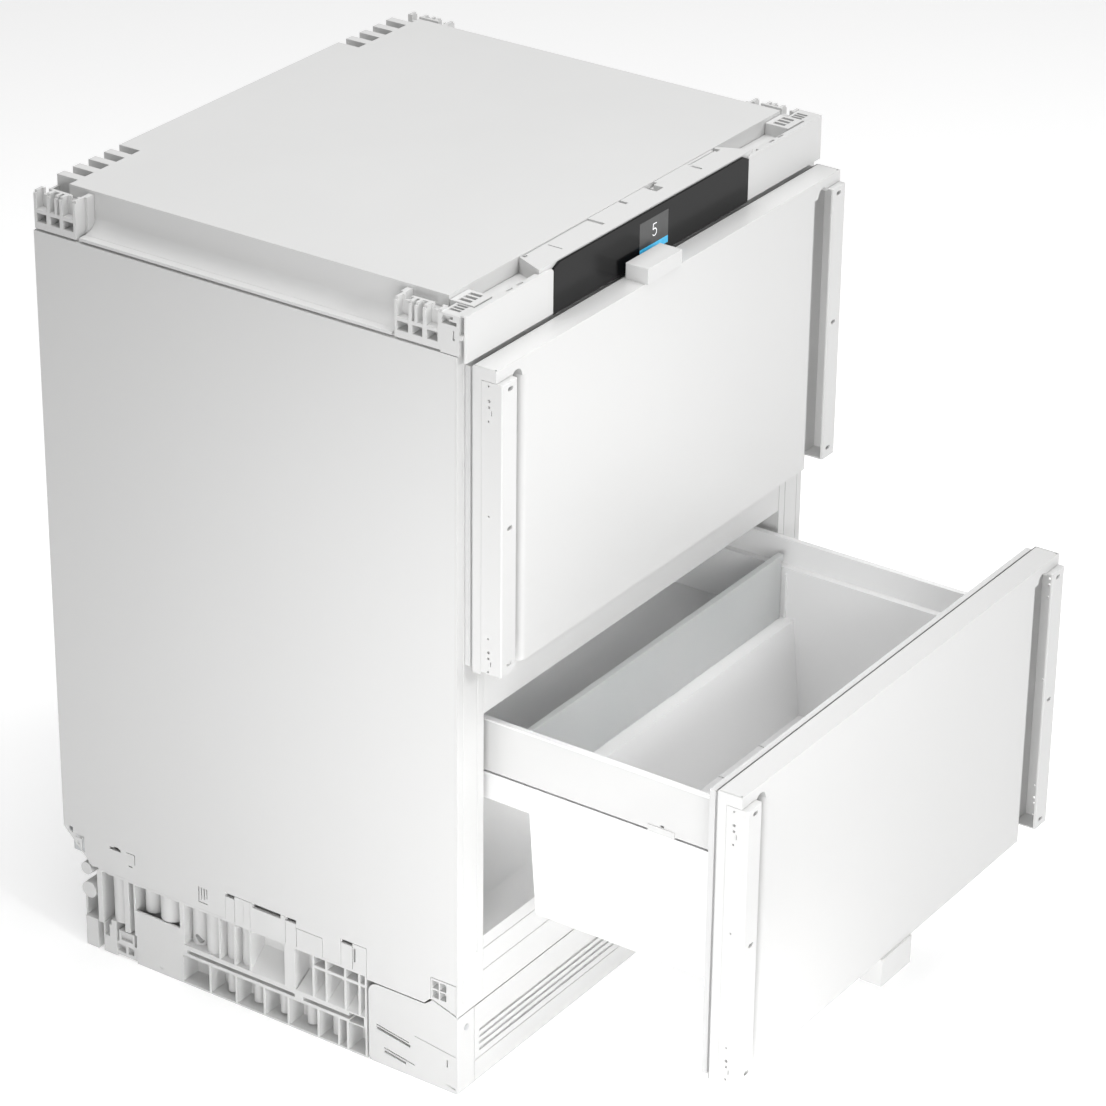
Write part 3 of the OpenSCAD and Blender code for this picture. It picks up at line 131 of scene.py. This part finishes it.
W = (0.66, 0.66, 0.656)
M = {}
M["coated_steel"] = finish_of("coated_steel", W, 0.34, 1100, 0.00003, 0.006, coat=0.12, coat_rough=0.2, blot=2.5)[0]
M["white_plastic"] = finish_of("white_plastic", W, 0.42, 1700, 0.00003, 0.01, blot=9, edge=0.0006)[0]
M["box_plastic"] = finish_of("box_plastic", (0.86, 0.86, 0.86), 0.24, 1500, 0.00001, 0.006, blot=7, edge=0.0008)[0]
M["black_plastic"] = finish_of("black_plastic", (0.022, 0.022, 0.024), 0.5, 1800, 0.00006, 0.15, blot=14, edge=0.0005)[0]
M["black_paint"] = finish_of("black_paint", (0.014, 0.014, 0.015), 0.36, 700, 0.00006, 0.2, coat=0.2, blot=20, edge=0.0004)[0]
M["grey_plastic"] = finish_of("grey_plastic", (0.33, 0.34, 0.35), 0.5, 1700, 0.00005, 0.05, blot=14, edge=0.0005)[0]
M["base_steel"] = finish_of("base_steel", (0.27, 0.28, 0.29), 0.42, 900, 0.00005, 0.08, metallic=0.3, blot=10)[0]
M["mount_rubber"] = finish_of("mount_rubber", (0.018, 0.018, 0.018), 0.75, 1300, 0.0001, 0.25, blot=30, spec=0.3)[0]
M["gasket"] = finish_of("gasket", (0.62, 0.62, 0.62), 0.6, 1600, 0.00005, 0.03, blot=20, spec=0.35)[0]
M["light_lens"] = finish_of("light_lens", (0.86, 0.87, 0.84), 0.3, 900, 0.00003, 0.01, blot=20)[0]
M["light_lens"].node_tree.nodes["Principled BSDF"].inputs["Emission Color"].default_value = (1, 0.98, 0.94, 1)
M["light_lens"].node_tree.nodes["Principled BSDF"].inputs["Emission Strength"].default_value = 0.5

# glossy black panel
M["black_gloss"] = finish_of("black_gloss", (0.005, 0.005, 0.0053), 0.2, 400, 0.000005, 0.1, spec=0.18,
                             rough_var=0.02, blot=12)[0]
# display glass, dark grey with faint random blotches
M["display"] = finish_of("display", (0.075, 0.076, 0.076), 0.22, 500, 0.000004, 0.12, spec=0.35,
                         rough_var=0.02, blot=40)[0]

# foam seen at its cut faces
m, nt, p = finish_of("foam", (0.80, 0.72, 0.47), 0.85, 380, 0.0003, 0.08, blot=18, spec=0.2)
M["foam"] = m

# zinc-coated sheet with its spangle
m, nt, p = tree("galvanised_steel")
co = nt.nodes.new("ShaderNodeTexCoord").outputs["Object"]
v = nt.nodes.new("ShaderNodeTexVoronoi"); v.inputs["Scale"].default_value = 70
nt.links.new(co, v.inputs["Vector"])
sep = nt.nodes.new("ShaderNodeSeparateColor")
nt.links.new(v.outputs["Color"], sep.inputs["Color"])
nt.links.new(ramp(nt, sep.outputs["Red"], [(0.0, (0.50, 0.51, 0.52)), (1.0, (0.62, 0.63, 0.64))]), p.inputs["Base Color"])
nt.links.new(spread(nt, sep.outputs["Green"], 0.34, 0.5, 0, 1), p.inputs["Roughness"])
nt.links.new(bump(nt, noise(nt, co, 900, 2), 0.3, 0.00003), p.inputs["Normal"])
p.inputs["Metallic"].default_value = 0.85
M["galvanised_steel"] = m

# bare aluminium, drawn along one direction
m, nt, p = finish_of("aluminium", (0.72, 0.73, 0.74), 0.36, 600, 0.00004, 0.05, metallic=1.0, blot=25, brushed=(1, 1, 0.03))
M["aluminium"] = m

# bare copper with darker patches scattered at random
m, nt, p = tree("copper_tube")
co = nt.nodes.new("ShaderNodeTexCoord").outputs["Object"]
nt.links.new(ramp(nt, noise(nt, co, 22, 5), [(0.3, (0.42, 0.17, 0.09)), (0.5, (0.72, 0.37, 0.23)), (0.75, (0.80, 0.45, 0.30))]), p.inputs["Base Color"])
nt.links.new(spread(nt, noise(nt, co, 60, 3), 0.22, 0.42), p.inputs["Roughness"])
nt.links.new(bump(nt, noise(nt, co, 700, 2), 0.25, 0.00003), p.inputs["Normal"])
p.inputs["Metallic"].default_value = 1.0
M["copper_tube"] = m

# frosted plate
m, nt, p = tree("frosted")
co = nt.nodes.new("ShaderNodeTexCoord").outputs["Object"]
nt.links.new(ramp(nt, noise(nt, co, 9, 3), [(0.3, (0.88, 0.9, 0.895)), (0.7, (0.92, 0.93, 0.925))]), p.inputs["Base Color"])
nt.links.new(spread(nt, noise(nt, co, 50, 3), 0.34, 0.4), p.inputs["Roughness"])
nt.links.new(bump(nt, noise(nt, co, 1400, 2), 0.5, 0.00004), p.inputs["Normal"])
p.inputs["Transmission Weight"].default_value = 0.55
p.inputs["IOR"].default_value = 1.49
M["frosted"] = m

for sub in frame["record"]["subparts"]:
    o = N[sub["node"]]
    o.data.materials.clear()
    o.data.materials.append(M[sub["material_slot"]])

# ---------------------------------------------------------------- edges
def smooth_group():
    g = bpy.data.node_groups.new("smooth_by_angle", "GeometryNodeTree")
    g.interface.new_socket("Geometry", in_out="INPUT", socket_type="NodeSocketGeometry")
    g.interface.new_socket("Geometry", in_out="OUTPUT", socket_type="NodeSocketGeometry")
    i = g.nodes.new("NodeGroupInput"); o = g.nodes.new("NodeGroupOutput")
    f = g.nodes.new("GeometryNodeSetShadeSmooth"); f.domain = "FACE"
    f.inputs["Shade Smooth"].default_value = True
    e = g.nodes.new("GeometryNodeSetShadeSmooth"); e.domain = "EDGE"
    e.inputs["Shade Smooth"].default_value = False
    a = g.nodes.new("GeometryNodeInputMeshEdgeAngle")
    c = g.nodes.new("ShaderNodeMath"); c.operation = "GREATER_THAN"; c.inputs[1].default_value = radians(32)
    g.links.new(i.outputs[0], f.inputs["Geometry"])
    g.links.new(f.outputs[0], e.inputs["Geometry"])
    g.links.new(a.outputs["Unsigned Angle"], c.inputs[0])
    g.links.new(c.outputs[0], e.inputs["Selection"])
    g.links.new(e.outputs[0], o.inputs[0])
    return g
SMOOTH = smooth_group()

def soften(o, width=0.0, segments=2):
    w = o.modifiers.new("weld", "WELD"); w.merge_threshold = 2e-6
    if width:
        b = o.modifiers.new("bevel", "BEVEL")
        b.limit_method = "ANGLE"; b.angle_limit = radians(32)
        b.width = width; b.segments = segments; b.use_clamp_overlap = True
        b.harden_normals = False
    s = o.modifiers.new("smooth", "NODES"); s.node_group = SMOOTH
    n = o.modifiers.new("normals", "WEIGHTED_NORMAL"); n.keep_sharp = True; n.weight = 100

BEVEL = {"side_panel_left": 0.5, "side_panel_right": 0.5, "upper_front_pan": 0.8, "lower_front_pan": 0.8,
         "top_cover": 0.7, "front_post_left": 0.5, "front_post_right": 0.5, "mullion": 0.6, "top_rail": 0.5,
         "fascia_ends": 0.6, "control_panel": 0.15, "upper_top_bracket": 0.9, "lower_bottom_bracket": 0.9, "upper_front_inner": 1.0, "lower_front_inner": 1.0,
         "rear_panel": 0.5, "control_box": 1.2, "drip_tray": 1.0, "divider": 0.4}
for name, o in N.items():
    soften(o, BEVEL.get(name, 0) * mm)

# ---------------------------------------------------------------- pieces
def piece(name, bm, material, body, width=0.0):
    me = bpy.data.meshes.new(name)
    bm.normal_update()
    bm.to_mesh(me); bm.free()
    o = bpy.data.objects.new(name, me)
    bpy.context.scene.collection.objects.link(o)
    me.materials.append(material)
    soften(o, width)
    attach(o, body)
    return o

# digit and light band of the display
glow, nt, p = tree("display_light")
co = nt.nodes.new("ShaderNodeTexCoord").outputs["Object"]
nt.links.new(ramp(nt, noise(nt, co, 160, 2), [(0.3, (0.03, 0.36, 0.62)), (0.7, (0.07, 0.47, 0.75))]), p.inputs["Base Color"])
p.inputs["Emission Color"].default_value = (0.05, 0.42, 0.72, 1)
p.inputs["Emission Strength"].default_value = 0.35
p.inputs["Roughness"].default_value = 0.3
digit, nt, p = tree("display_digit")
co = nt.nodes.new("ShaderNodeTexCoord").outputs["Object"]
nt.links.new(ramp(nt, noise(nt, co, 300, 2), [(0.3, (0.80, 0.82, 0.84)), (0.7, (0.9, 0.9, 0.9))]), p.inputs["Base Color"])
p.inputs["Emission Color"].default_value = (1, 1, 1, 1)
p.inputs["Emission Strength"].default_value = 0.35
p.inputs["Roughness"].default_value = 0.4

def ribbon(pts, half, y0, y1):
    """a flat stroke of constant width along points (x, z), standing from plane y0 out to plane y1"""
    bm = bmesh.new()
    rows = []
    for k, q in enumerate(pts):
        q0 = Vector(pts[max(k - 1, 0)]); q1 = Vector(pts[min(k + 1, len(pts) - 1)])
        d = (q1 - q0).normalized(); n = Vector((-d.y, d.x)); q = Vector(q)
        bend = 1.0
        if 0 < k < len(pts) - 1:
            c = (q - q0).normalized().dot(d)
            bend = 1 / max(c, 0.6)
        rows.append([bm.verts.new(((q + n * half * s * bend).x, y, (q + n * half * s * bend).y)) for s, y in ((-1, y0), (-1, y1), (1, y1), (1, y0))])
    for a, b in zip(rows, rows[1:]):
        for i in range(4):
            bm.faces.new((a[i], a[(i + 1) % 4], b[(i + 1) % 4], b[i]))
    bm.faces.new(rows[0][::-1]); bm.faces.new(rows[-1])
    bmesh.ops.recalc_face_normals(bm, faces=bm.faces)
    return bm

dlo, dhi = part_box("display_module")
five = [(3.1, 5.9), (-2.3, 5.9), (-2.75, 0.7)]
five += [(-0.25 + 3.45 * cos(radians(t)), -2.35 + 3.55 * sin(radians(t))) for t in range(128, -151, -12)]
five = [(dlo.x / 2 + dhi.x / 2 + (0.9 + x) * mm, (797 + z) * mm) for x, z in five]
piece("display_digit", ribbon(five, 0.45 * mm, dlo.y + 0.0001, dlo.y - 0.00012), digit, "cabinet")

def plate(x0, x1, y0, y1, z0, z1):
    bm = bmesh.new()
    bmesh.ops.create_cube(bm, size=1)
    for v in bm.verts:
        v.co = Vector((x0 if v.co.x < 0 else x1, y0 if v.co.y < 0 else y1, z0 if v.co.z < 0 else z1))
    return bm
piece("display_band", plate(dlo.x + 0.0004, dhi.x - 0.0004, dlo.y - 0.0001, dlo.y + 0.0001, 0.7768, 0.7838), glow, "cabinet", 0.00005)

# ---------------------------------------------------------------- stage
floor_mat, nt, p = tree("floor")
co = nt.nodes.new("ShaderNodeTexCoord").outputs["Object"]
nt.links.new(ramp(nt, noise(nt, co, 0.7, 2), [(0.3, (0.90, 0.90, 0.90)), (0.7, (0.91, 0.91, 0.91))]), p.inputs["Base Color"])
p.inputs["Roughness"].default_value = 0.6
p.inputs["Specular IOR Level"].default_value = 0.2
p.inputs["Emission Color"].default_value = (1, 1, 1, 1)
p.inputs["Emission Strength"].default_value = 0.33
me = bpy.data.meshes.new("floor")
me.from_pydata([(-30, -30, 0), (30, -30, 0), (30, 30, 0), (-30, 30, 0)], [], [(0, 1, 2, 3)])
floor = bpy.data.objects.new("floor", me)
floor.location.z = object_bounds()[0][2] - 0.0005
bpy.context.scene.collection.objects.link(floor)
me.materials.append(floor_mat)

world = bpy.data.worlds.new("studio")
bpy.context.scene.world = world
world.use_nodes = True
bg = world.node_tree.nodes["Background"]
bg.inputs["Color"].default_value = (1, 1, 1, 1)
bg.inputs["Strength"].default_value = 0.22

def area(name, place, aim, size, watts, cone=180, color=(1, 1, 1)):
    l = bpy.data.lights.new(name, "AREA")
    l.shape = "RECTANGLE"; l.size, l.size_y = size
    l.energy = watts; l.color = color
    l.spread = radians(cone)
    o = bpy.data.objects.new(name, l)
    o.location = place
    o.rotation_euler = (Vector(aim) - Vector(place)).to_track_quat("-Z", "Y").to_euler()
    bpy.context.scene.collection.objects.link(o)
    o.visible_camera = False
    return o
area("key", (2.6, -3.6, 3.1), (0, -0.2, 0.5), (2.6, 2.6), 71)
area("left_front", (-1.3, -0.95, 0.55), (-0.25, -0.42, 0.36), (0.8, 0.9), 2.3, 60)
area("low_front", (-0.62, -1.25, 0.06), (-0.2, -0.24, 0.05), (0.3, 0.06), 0.24, 40)
area("high_front", (-0.62, -2.2, 1.6), (-0.2, -0.28, 0.62), (0.5, 0.3), 0.5, 30)
area("top", (0, -0.2, 4.0), (0, -0.2, 0.8), (3.5, 3.5), 120)
area("inside", (0.16, -0.11, 0.22), (-0.12, -0.03, 0.17), (0.14, 0.04), 0.55)

sc = bpy.context.scene
sc.view_settings.view_transform = "Standard"
sc.view_settings.look = "None"

# ---------------------------------------------------------------- camera
az, el, roll = radians(-55.62), radians(27.3), radians(0.63)
back = Vector((sin(az) * cos(el), -cos(az) * cos(el), sin(el)))
pos = Vector((0, -0.14227, 0.428712)) + back * 4.105292
xc = Vector((0, 0, 1)).cross(back).normalized(); yc = back.cross(xc)
xr = cos(roll) * xc + sin(roll) * yc
yr = -sin(roll) * xc + cos(roll) * yc
cd = bpy.data.cameras.new("camera")
cd.lens = 4211.993 / 1106 * 36
cd.sensor_width = 36; cd.sensor_fit = "HORIZONTAL"
cd.clip_start = 0.05; cd.clip_end = 100
cam = bpy.data.objects.new("camera", cd)
bpy.context.scene.collection.objects.link(cam)
cam.matrix_world = Matrix(((xr.x, yr.x, back.x, pos.x), (xr.y, yr.y, back.y, pos.y), (xr.z, yr.z, back.z, pos.z), (0, 0, 0, 1)))
bpy.context.scene.camera = cam
